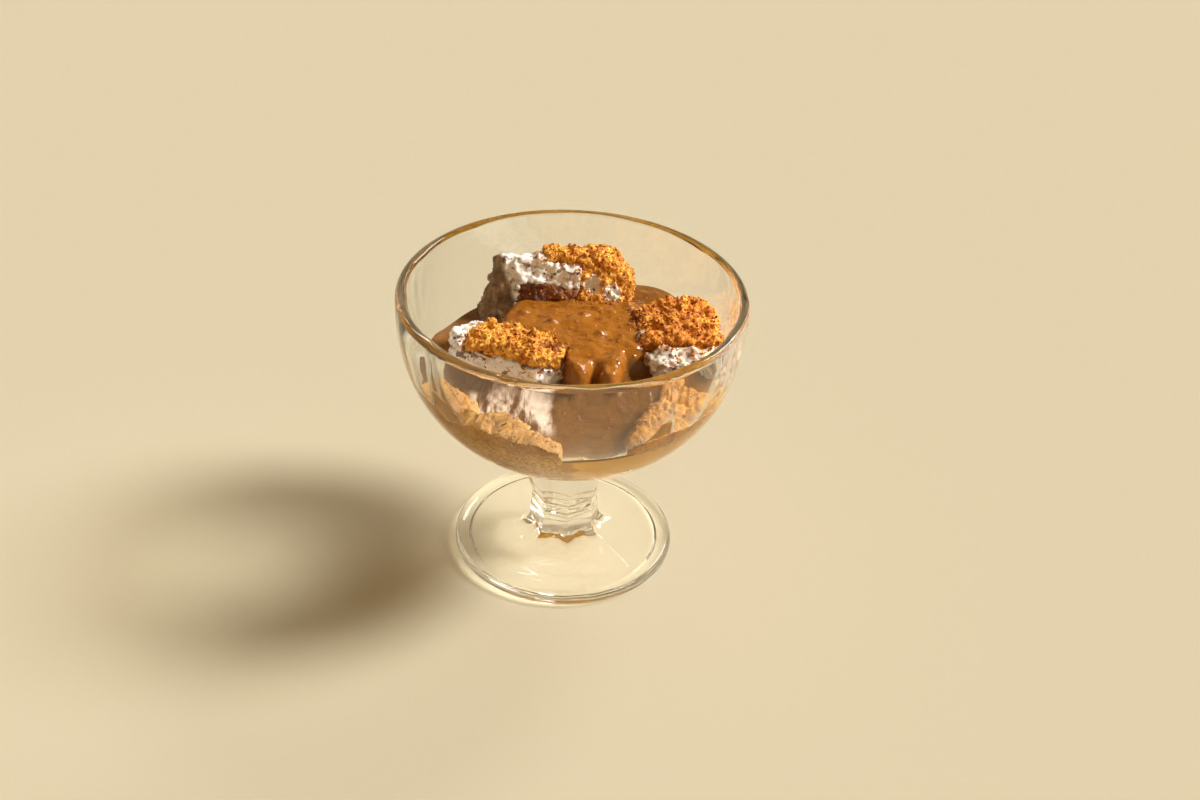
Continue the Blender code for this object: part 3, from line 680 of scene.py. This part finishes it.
def nearness(piece, other, reach):
    """How near each of a piece's points lies to another piece, from 1 at it to 0 at the reach."""
    points = read_points(other)
    tree = KDTree(len(points))
    for index, point in enumerate(points):
        tree.insert(point, index)
    tree.balance()
    away = np.array([tree.find(point)[2] for point in read_points(piece)])
    return ramp(away, reach, 0.3 * reach)


def join_pieces(name, pieces):
    """Join pieces to one mesh."""
    deselect()
    for piece in pieces:
        piece.select_set(True)
    bpy.context.view_layer.objects.active = pieces[0]
    bpy.ops.object.join()
    pieces[0].name = name
    pieces[0].data.name = name
    return pieces[0]


# Materials

class Value:
    """A number in a material, with its maths written as an expression."""

    def __init__(self, tree, socket):
        self.tree = tree
        self.socket = socket

    def maths(self, operation, first, second):
        """Add a Math node for two numbers or links."""
        made = self.tree.nodes.new("ShaderNodeMath")
        made.operation = operation
        for entry, value in zip(made.inputs, (first, second)):
            if isinstance(value, Value):
                self.tree.links.new(value.socket, entry)
            else:
                entry.default_value = value
        return Value(self.tree, made.outputs[0])

    def __add__(self, other):
        return self.maths("ADD", self, other)

    def __sub__(self, other):
        return self.maths("SUBTRACT", self, other)

    def __mul__(self, other):
        return self.maths("MULTIPLY", self, other)

    def __rmul__(self, other):
        return self.maths("MULTIPLY", other, self)


class Finish:
    """A procedural material in the making."""

    def __init__(self, name):
        self.material = bpy.data.materials.new(name)
        self.material.use_nodes = True
        self.tree = self.material.node_tree
        self.shader = self.tree.nodes["Principled BSDF"]
        self.end = self.tree.nodes["Material Output"]
        self.place = self.node("ShaderNodeTexCoord", {}, {}, "Object")

    def node(self, kind, settings, values, output):
        """Add a node with its settings and the values or links of its sockets."""
        made = self.tree.nodes.new(kind)
        for key, value in settings.items():
            setattr(made, key, value)
        for key, value in values.items():
            if isinstance(value, Value):
                self.tree.links.new(value.socket, made.inputs[key])
            else:
                made.inputs[key].default_value = value
        return Value(self.tree, made.outputs[output])

    def noise(self, grain, detail=3.0, rough=0.55, place=None):
        """Soft noise whose lumps have the given size in metres."""
        values = {"Vector": place or self.place, "Scale": 1 / grain, "Detail": detail,
                  "Roughness": rough}
        return self.node("ShaderNodeTexNoise", {}, values, "Fac")

    def cells(self, grain, place=None):
        """Distance to the nearest of many scattered points."""
        values = {"Vector": place or self.place, "Scale": 1 / grain}
        return self.node("ShaderNodeTexVoronoi", {}, values, "Distance")

    def between(self, value, low, high):
        """Smooth step of a value from 0 at low to 1 at high."""
        values = {"Value": value, "From Min": low, "From Max": high}
        return self.node("ShaderNodeMapRange", {"interpolation_type": "SMOOTHSTEP"}, values, "Result")

    def mix(self, mask, first, second):
        """Mix two colours by a mask."""
        values = {0: mask}
        for key, colour in ((6, first), (7, second)):
            values[key] = colour if isinstance(colour, Value) else (*colour, 1)
        return self.node("ShaderNodeMix", {"data_type": "RGBA"}, values, 2)

    def axis(self, letter):
        """One coordinate of the place."""
        return self.node("ShaderNodeSeparateXYZ", {}, {0: self.place}, letter)

    def distance(self, place):
        """How far away a place lies."""
        values = {0: self.place, 1: place}
        return self.node("ShaderNodeVectorMath", {"operation": "DISTANCE"}, values, "Value")

    def stretched(self, scale):
        """The place with its axes scaled."""
        return self.node("ShaderNodeMapping", {}, {"Vector": self.place, "Scale": scale}, "Vector")

    def bump(self, height, depth):
        """Bump the surface by a height from 0 to 1, times a depth in metres."""
        values = {"Height": height, "Distance": depth}
        self.link("Normal", self.node("ShaderNodeBump", {}, values, "Normal"))

    def link(self, entry, value):
        """Set or link one of the surface's own sockets."""
        if isinstance(value, Value):
            self.tree.links.new(value.socket, self.shader.inputs[entry])
        else:
            self.shader.inputs[entry].default_value = value


def glass_finish(colours):
    """Clear pressed glass that lets light through to the food and the table."""
    finish = Finish("clear_glass")
    finish.link("Base Color", (*colours.glass, 1))
    finish.link("Roughness", 0.0)
    finish.link("IOR", 1.5)
    finish.link("Transmission Weight", 1.0)
    finish.bump(finish.noise(9 * MM, 1.0), 0.12 * MM)
    is_shadow = finish.node("ShaderNodeLightPath", {}, {}, "Is Shadow Ray")
    clear = finish.node("ShaderNodeBsdfTransparent", {}, {"Color": GLASS_SHADOW}, "BSDF")
    mixed = finish.tree.nodes.new("ShaderNodeMixShader")
    finish.tree.links.new(is_shadow.socket, mixed.inputs[0])
    finish.tree.links.new(finish.shader.outputs[0], mixed.inputs[1])
    finish.tree.links.new(clear.socket, mixed.inputs[2])
    finish.tree.links.new(mixed.outputs[0], finish.end.inputs["Surface"])
    return finish.material


def sauce_finish(colours):
    """Glossy caramel sauce.

    The heap is golden and the pool round it is browner, thinner sauce that is also darkened as
    painted shade of the low pool. Against the glass the sauce is painted paler, as painted light where
    light comes in through the glass, with cream swirled into it at the left front and crumbly cake
    under the left sponge in the sponge's painted-light tone.
    """
    finish = Finish("caramel_sauce")
    streaks = finish.noise(5 * MM, 4.0, 0.6, finish.stretched((1, 1.8, 1)))
    tone = finish.mix(finish.between(streaks, 0.48, 0.72), tuple(colours.sauce),
                      tuple(colours.sauce_dark))
    aside = finish.axis("X")
    ahead = finish.axis("Y")
    level = finish.axis("Z") - POOL_SLOPE_BACK * ahead - POOL_SLOPE_RIGHT * aside
    for swell_x, swell_y, reach, rise in POOL_SWELLS:
        away = finish.distance((swell_x, swell_y, POOL_HEIGHT))
        level = level - finish.between(away, 1.6 * reach, 0.12 * reach) * rise
    wave = (finish.noise(4 * MM, 2.0) - 0.5) * (1.6 * MM)
    # The pool round the heap is browner: thinner sauce, and partly painted shade of the low pool
    tone = finish.mix(finish.between(level + wave, 71.6 * MM, 69.8 * MM), tone, tuple(colours.pool))
    run = finish.between(aside, -31 * MM, -27 * MM) * finish.between(aside, -2 * MM, -6 * MM)
    run = run * finish.between(ahead, -37 * MM, -31 * MM) * finish.between(ahead, -12 * MM, -16 * MM)
    swirl = finish.noise(5.5 * MM, 4.0, 0.6, finish.stretched((1, 0.3, 1)))
    tone = finish.mix(run * finish.between(swirl, 0.40, 0.54) * 0.95, tone, SWIRL_CREAM)
    tone = finish.mix(run * finish.between(swirl, 0.46, 0.36) * 0.7, tone, SWIRL_COFFEE)
    # Painted light: below the pool's top the sauce against the glass is made paler, where light comes in
    # through the glass
    side = finish.between(level, POOL_HEIGHT - 0.6 * MM, POOL_HEIGHT - 0.9 * MM)
    tone = finish.mix(side, tone, tuple(colours.lit_pool_side))
    # Crumbly cake against the glass under the left sponge, painted in the sponge's paler painted-light
    # tone
    ragged = (finish.noise(3.5 * MM, 3.0) - 0.5) * (12 * MM)
    crumbly = side * finish.between(aside + ragged, 3 * MM, 2 * MM)
    crumbly = crumbly * finish.between(ahead, -10 * MM, -20 * MM)
    tone = finish.mix(crumbly, tone, SAUCE_CRUMBLY_LIT)
    finish.link("Base Color", tone)
    finish.link("Roughness", 0.13)
    finish.link("IOR", 1.45)
    bits = finish.between(finish.cells(3.4 * MM), 0.22, 0.08)
    finish.bump(finish.noise(2.6 * MM, 2.0) + 0.5 * bits, 0.3 * MM)
    return finish.material


def cream_finish(colours, name, low, high):
    """Whipped cream with small holes painted dark as painted shade, and a cut end at the back left with
    painted shade and streaks.

    Coffee stains and painted shade darken it where the noise lies between low and high.
    """
    finish = Finish(name)
    # One noise places the coffee stains and the painted shade of the cream
    stain = finish.noise(4.2 * MM, 4.0, 0.62)
    tone = finish.mix(finish.between(stain, low, high), tuple(colours.cream), tuple(colours.cream_stain_and_shade))
    # Painted shade: small holes in the cream are painted dark
    shaded_pits = finish.noise(2.4 * MM, 2.0, 0.5, finish.stretched((1, 1, 1.6)))
    tone = finish.mix(finish.between(shaded_pits, 0.45, 0.36) * 0.85, tone, CREAM_HOLE_SHADE)
    soak_and_light = finish.between(finish.noise(2.4 * MM, 3.0) + 0.5 * stain, 0.86, 1.0)
    tone = finish.mix(soak_and_light * 0.75, tone, CREAM_COFFEE)
    # Painted shade: the back left end, turned from the light, is painted grey-brown with vertical streaks
    diagonal = finish.axis("X") + 0.47 * (finish.axis("Z") - 66 * MM)
    shaded_end = finish.between(diagonal, -13 * MM, -15.5 * MM)
    shaded_end = shaded_end * finish.between(finish.axis("Y"), 14 * MM, 17 * MM)
    grain = finish.noise(3 * MM, 4.0, 0.6, finish.stretched((1, 1, 0.25)))
    streak = finish.mix(finish.between(grain, 0.35, 0.65), END_SHADE_PALE, END_SHADE_DARK)
    tone = finish.mix(shaded_end * 0.95, tone, streak)
    finish.link("Base Color", tone)
    finish.link("Roughness", 0.6)
    finish.link("Subsurface Weight", 0.15)
    finish.link("Subsurface Radius", (1.2 * MM, 0.8 * MM, 0.5 * MM))
    finish.link("Subsurface Scale", 1.0)
    finish.bump(finish.noise(0.9 * MM, 3.0), 0.15 * MM)
    return finish.material


def sponge_finish(colours, name, light, dark, wet):
    """Porous sponge, wet with sauce in places, with painted light low in the bowl that makes it paler and
    more golden.
    """
    finish = Finish(name)
    pores = finish.cells(1.5 * MM, place=finish.stretched((1, 1, 1.5)))
    crumb = finish.noise(1.0 * MM, 4.0, 0.65)
    blotch = finish.noise(7 * MM, 3.0)
    tone = finish.mix(finish.between(crumb, 0.36, 0.62), dark, light)
    tone = finish.mix(finish.between(blotch, 0.46, 0.64) * 0.7, tone, wet)
    tone = finish.mix(finish.between(pores, 0.26, 0.1) * 0.7, tone, tuple(colours.sponge_dark))
    # Painted light: low in the bowl, where light comes in through the glass, the sponge is made paler and
    # more golden
    soak_and_light = finish.mix(finish.between(crumb, 0.4, 0.6), LIT_SPONGE_DARK, LIT_SPONGE_PALE)
    soak_and_light = finish.mix(finish.between(pores, 0.3, 0.12) * 0.8, soak_and_light, LIT_SPONGE_PORES)
    tone = finish.mix(finish.between(finish.axis("Z"), 68.5 * MM, 62 * MM), tone, soak_and_light)
    finish.link("Base Color", tone)
    finish.link("Roughness", 0.5)
    finish.bump(crumb + finish.between(pores, 0.08, 0.3), 0.35 * MM)
    return finish.material


def crumb_finish(name, light, dark, spot, patches=()):
    """Toasted crumbs, each with its own tone, and other colours round the given places."""
    finish = Finish(name)
    tone = finish.mix(finish.between(finish.noise(1.8 * MM, 2.0), 0.36, 0.66), light, dark)
    tone = finish.mix(finish.between(finish.noise(0.7 * MM, 2.0), 0.56, 0.72) * 0.6, tone, spot)
    ragged = finish.noise(1.6 * MM, 4.0, 0.6)
    for place, reach, colour in patches:
        smear = finish.between(finish.distance(place) * (1 / reach) + ragged * 1.4, 1.6, 1.35)
        tone = finish.mix(smear, tone, colour)
    finish.link("Base Color", tone)
    finish.link("Roughness", 0.62)
    finish.link("Specular IOR Level", 0.2)
    finish.bump(finish.noise(0.45 * MM, 3.0), 0.12 * MM)
    return finish.material


def crumb_finishes(colours):
    """The four finishes of crusts and crumbs: golden, amber, toasted and dark."""
    smears = [(place, reach, SMEAR_CREAM) for place, reach in CREAM_SMEARS]
    smears += [(place, reach, SMEAR_BROWN) for place, reach in BROWN_SMEARS]
    toast = tuple(colours.toast)
    return (
        crumb_finish("golden_crumb", tuple(colours.gold), toast, shade(255, 220, 150), smears),
        crumb_finish("amber_crumb", shade(232, 148, 50), shade(176, 96, 32), shade(244, 190, 108), smears),
        crumb_finish("toasted_crumb", toast, shade(112, 56, 18), shade(214, 140, 60)),
        crumb_finish("dark_crumb", tuple(colours.dark), shade(52, 26, 12), shade(130, 76, 36)),
    )


def table_finish(colours):
    """Pale matte table top."""
    finish = Finish("pale_table")
    finish.link("Base Color", (*colours.table, 1))
    finish.link("Roughness", 1.0)
    finish.link("Specular IOR Level", 0.0)
    return finish.material


# Operators, one for each piece or group of like pieces

class GlassOperator(bpy.types.Operator):
    """Add the pressed glass coupe"""

    bl_idname = "tiramisu.glass"
    bl_label = "Coupe"
    bl_options = {"REGISTER", "UNDO"}

    def execute(self, context):
        sizes = context.scene.cup_sizes
        piece = turned("clear_coupe", glass_points(), sizes.columns)
        press_glass(piece)
        choose(piece)
        bpy.ops.object.shade_smooth_by_angle(angle=math.radians(28))
        finish_piece(piece, glass_finish(context.scene.cup_colours), ["coupe_glass"])
        return {"FINISHED"}


class SauceOperator(bpy.types.Operator):
    """Add the caramel sauce"""

    bl_idname = "tiramisu.sauce"
    bl_label = "Sauce"
    bl_options = {"REGISTER", "UNDO"}

    def execute(self, context):
        sizes = context.scene.cup_sizes
        side = [point for point in inside_points(sizes.wall_reach) if point.y < POOL_HEIGHT - 3 * MM]
        side.reverse()
        pool = float(inner_radius(POOL_HEIGHT))
        top = [Vector((pool * index / SAUCE_RINGS, POOL_HEIGHT)) for index in range(SAUCE_RINGS + 1)]
        piece = turned("poured_sauce", top + side, sizes.columns)
        shape_sauce(piece, sizes.wall_reach)
        finer = piece.modifiers.new("finer", "SUBSURF")
        finer.subdivision_type = "SIMPLE"
        finer.levels = 1
        finer.render_levels = 1
        relief(piece, "sauce_swell", "CLOUDS", 5 * MM, 1.2 * MM, direction="Z", group="top")
        soft = piece.modifiers.new("soft", "SMOOTH")
        soft.iterations = 6
        soft.vertex_group = "top"
        apply_all(piece)
        choose(piece)
        bpy.ops.object.shade_smooth()
        finish_piece(piece, sauce_finish(context.scene.cup_colours), ["coffee_sauce"])
        return {"FINISHED"}


class SpongeOperator(bpy.types.Operator):
    """Add the sponge of each piece of cake"""

    bl_idname = "tiramisu.sponge"
    bl_label = "Sponge"
    bl_options = {"REGISTER", "UNDO"}

    def execute(self, context):
        sizes = context.scene.cup_sizes
        colours = context.scene.cup_colours
        pale = sponge_finish(colours, "soaked_sponge", tuple(colours.sponge), shade(158, 104, 44),
                             shade(200, 148, 74))
        chocolate = sponge_finish(colours, "chocolate_sponge", shade(118, 62, 26),
                                  tuple(colours.dark), shade(160, 92, 40))
        caramel = sponge_finish(colours, "caramel_sponge", shade(208, 144, 52), shade(156, 96, 30),
                                shade(224, 154, 48))
        for node, material in (("left_sponge", pale), ("right_sponge", caramel),
                               ("back_sponge", chocolate)):
            piece = layer(node + "_cake", node, sizes.voxel, sizes.layer_swell)
            relief(piece, node + "_lumps", "CLOUDS", 5 * MM, 3 * MM)
            relief(piece, node + "_pores", "VORONOI", 1.7 * MM, 0.9 * MM, 0.45)
            apply_all(piece)
            meet_wall(piece, sizes.wall_reach * 2, 1.2 * MM, 2.4 * MM)
            finish_piece(piece, material, [node])
        return {"FINISHED"}


class CreamOperator(bpy.types.Operator):
    """Add the cream of each piece of cake"""

    bl_idname = "tiramisu.cream"
    bl_label = "Cream"
    bl_options = {"REGISTER", "UNDO"}

    def execute(self, context):
        sizes = context.scene.cup_sizes
        colours = context.scene.cup_colours
        white = cream_finish(colours, "whipped_cream", 0.58, 0.78)
        # The right cream has more of the coffee stains and painted shade
        stained = cream_finish(colours, "stained_cream", 0.42, 0.58)
        for node, material in (("left_cream", white), ("right_cream", stained),
                               ("back_cream", white)):
            piece = layer(node + "_torn", node, sizes.voxel, sizes.layer_swell)
            relief(piece, node + "_lumps", "CLOUDS", 5 * MM, 4 * MM)
            relief(piece, node + "_tears", "CLOUDS", 1.8 * MM, 1.2 * MM)
            relief(piece, node + "_holes", "VORONOI", 2.3 * MM, 1.1 * MM)
            apply_all(piece)
            meet_wall(piece, sizes.wall_reach * 2, 0.5 * MM, 1.0 * MM)
            finish_piece(piece, material, [node])
        return {"FINISHED"}


class CrumbOperator(bpy.types.Operator):
    """Add the crusts and the loose crumbs on them"""

    bl_idname = "tiramisu.crumbs"
    bl_label = "Crumbs"
    bl_options = {"REGISTER", "UNDO"}

    def execute(self, context):
        sizes = context.scene.cup_sizes
        gold, amber, toast, dark = crumb_finishes(context.scene.cup_colours)
        crusts = [self.add_crust(node, material, sizes)
                  for node, material in (("left_crumb", gold), ("right_crumb", amber),
                                         ("back_crumb", gold))]
        grounds = self.find_grounds(crusts)
        for kind, material in zip(CRUMB_KINDS, (gold, toast, dark)):
            name, spacing, low, high, seed, fineness, amounts = kind
            radii = (low * sizes.crumb_radius, high * sizes.crumb_radius)
            grains = make_grains(CRUMB_SHAPES, fineness)
            scattered = []
            for index, ((ground, share), amount) in enumerate(zip(grounds, amounts)):
                scattered.append(scatter(f"{name}_{index}", ground, share * amount, grains,
                                         sizes.crumb_spacing * spacing, radii, seed + index))
            finish_piece(join_pieces(name, scattered), material)
            drop_grains(grains)
        return {"FINISHED"}

    def add_crust(self, node, material, sizes):
        """The crust of one piece of cake."""
        piece = layer(node + "_crust", node, sizes.voxel, sizes.layer_swell)
        relief(piece, node + "_lumps", "CLOUDS", 3.5 * MM, 4 * MM)
        relief(piece, node + "_grain", "VORONOI", 1.1 * MM, -0.9 * MM, 0.4)
        apply_all(piece)
        meet_wall(piece, sizes.wall_reach * 2, 0.5 * MM, 1.0 * MM)
        finish_piece(piece, material, [node])
        return piece

    def find_grounds(self, crusts):
        """What the crumbs lie on: crusts, creams, back sponge and sauce, each with their share there."""
        grounds = [(crust, ramp(read_normals(crust)[:, 2], -0.3, 0.2)) for crust in crusts]
        for side, crust in zip(("left", "right", "back"), crusts):
            cream = bpy.data.objects[side + "_cream_torn"]
            points = read_points(cream)
            ragged = np.array([noise.noise(Vector(point) / (3 * MM)) for point in points])
            reach = 4 * MM + 5 * MM * ramp(points[:, 0], 27 * MM, 33 * MM)
            grounds.append((cream, nearness(cream, crust, reach) * ramp(ragged, -0.25, 0.35)))
        sponge = bpy.data.objects["back_sponge_cake"]
        grounds.append((sponge, np.full(len(sponge.data.vertices), 0.8)))
        sauce = bpy.data.objects["poured_sauce"]
        shores = [nearness(sauce, crust, 2.6 * MM) for crust in crusts]
        is_level = ramp(read_normals(sauce)[:, 2], 0.2, 0.6)
        grounds.append((sauce, np.maximum.reduce(shores) * is_level))
        return grounds


class StageOperator(bpy.types.Operator):
    """Add the table, the light and the camera"""

    bl_idname = "tiramisu.stage"
    bl_label = "Table, light and camera"
    bl_options = {"REGISTER", "UNDO"}

    def execute(self, context):
        settings = context.scene.stage_settings
        scene = context.scene
        deselect()
        bpy.ops.mesh.primitive_circle_add(vertices=96, radius=settings.table_radius, fill_type="NGON",
                                          location=(0, 0, -0.05 * MM))
        table = bpy.context.object
        table.name = "table_top"
        table.data.materials.append(table_finish(scene.cup_colours))
        deselect()
        side = Vector((math.cos(settings.key_side), math.sin(settings.key_side), 0))
        toward = side * math.cos(settings.key_height) + Vector((0, 0, math.sin(settings.key_height)))
        turn = toward.to_track_quat("Z", "Y").to_euler()
        bpy.ops.object.light_add(type="SUN", location=toward, rotation=turn)
        key = bpy.context.object
        key.name = "key_light"
        key.data.energy = settings.key_strength
        key.data.angle = settings.key_softness
        key.data.cycles.use_multiple_importance_sampling = False
        deselect()
        ahead = Vector(CAMERA_AIM) - Vector(CAMERA_PLACE)
        roll = Matrix.Rotation(CAMERA_ROLL, 3, "Z")
        turn = (ahead.to_track_quat("-Z", "Y").to_matrix() @ roll).to_euler()
        bpy.ops.object.camera_add(location=CAMERA_PLACE, rotation=turn)
        camera = bpy.context.object
        camera.name = "photo_camera"
        camera.data.lens = LENS
        camera.data.sensor_width = SENSOR_WIDTH
        scene.camera = camera
        self.light_room(scene)
        scene.view_settings.view_transform = "Standard"
        scene.cycles.max_bounces = CLEAR_BOUNCES
        scene.cycles.transmission_bounces = CLEAR_BOUNCES
        scene.cycles.glossy_bounces = GLOSSY_BOUNCES
        return {"FINISHED"}

    def light_room(self, scene):
        """Warm even light all round, paler low down, with a bright window on the right."""
        world = bpy.data.worlds.new("studio")
        world.use_nodes = True
        scene.world = world
        tree = world.node_tree
        toward = tree.nodes.new("ShaderNodeTexCoord").outputs["Generated"]
        split = tree.nodes.new("ShaderNodeSeparateXYZ")
        tree.links.new(toward, split.inputs[0])
        colour = self.blend_light(tree, split.outputs["Z"], ROOM_CHANGE, ROOM_LOW, ROOM_HIGH)
        window = tree.nodes.new("ShaderNodeVectorMath")
        window.operation = "DOT_PRODUCT"
        window.inputs[1].default_value = Vector(WINDOW_TOWARD).normalized()
        tree.links.new(toward, window.inputs[0])
        colour = self.blend_light(tree, window.outputs["Value"], WINDOW_EDGE, colour, WINDOW_LIGHT)
        tree.links.new(colour, tree.nodes["Background"].inputs["Color"])
        world.cycles.sampling_method = "NONE"

    def blend_light(self, tree, value, change, first, second):
        """Blend two colours of light as a value goes through the two ends of a change."""
        share = tree.nodes.new("ShaderNodeMapRange")
        share.interpolation_type = "SMOOTHSTEP"
        share.inputs["From Min"].default_value = change[0]
        share.inputs["From Max"].default_value = change[1]
        tree.links.new(value, share.inputs["Value"])
        mixed = tree.nodes.new("ShaderNodeMix")
        mixed.data_type = "RGBA"
        tree.links.new(share.outputs["Result"], mixed.inputs[0])
        for entry, colour in ((mixed.inputs[6], first), (mixed.inputs[7], second)):
            if isinstance(colour, tuple):
                entry.default_value = (*colour, 1)
            else:
                tree.links.new(colour, entry)
        return mixed.outputs[2]


class CupPanel(bpy.types.Panel):
    """Sizes, colours and buttons of the cup"""

    bl_idname = "TIRAMISU_PT_cup"
    bl_label = "Tiramisu cup"
    bl_space_type = "VIEW_3D"
    bl_region_type = "UI"
    bl_category = "Tiramisu"

    def draw(self, context):
        scene = context.scene
        for settings in (scene.cup_sizes, scene.cup_colours, scene.stage_settings):
            box = self.layout.box()
            for key in settings.bl_rna.properties.keys():
                if key not in ("rna_type", "name"):
                    box.prop(settings, key)
        for operator in OPERATORS:
            self.layout.operator(operator.bl_idname)


OPERATORS = (StageOperator, GlassOperator, SauceOperator, SpongeOperator, CreamOperator,
             CrumbOperator)
SETTINGS = (("cup_sizes", CupSizes), ("cup_colours", CupColours),
            ("stage_settings", StageSettings))


def register():
    """Register the classes and the settings."""
    for name, kind in SETTINGS:
        bpy.utils.register_class(kind)
        setattr(bpy.types.Scene, name, bpy.props.PointerProperty(type=kind))
    for kind in OPERATORS + (CupPanel,):
        bpy.utils.register_class(kind)


def unregister():
    """Take the classes and the settings out again."""
    for kind in reversed(OPERATORS + (CupPanel,)):
        bpy.utils.unregister_class(kind)
    for name, kind in reversed(SETTINGS):
        delattr(bpy.types.Scene, name)
        bpy.utils.unregister_class(kind)


def main():
    """Dress the cup."""
    register()
    bpy.ops.tiramisu.stage()
    bpy.ops.tiramisu.glass()
    bpy.ops.tiramisu.sauce()
    bpy.ops.tiramisu.sponge()
    bpy.ops.tiramisu.cream()
    bpy.ops.tiramisu.crumbs()


if __name__ == "__main__":
    main()
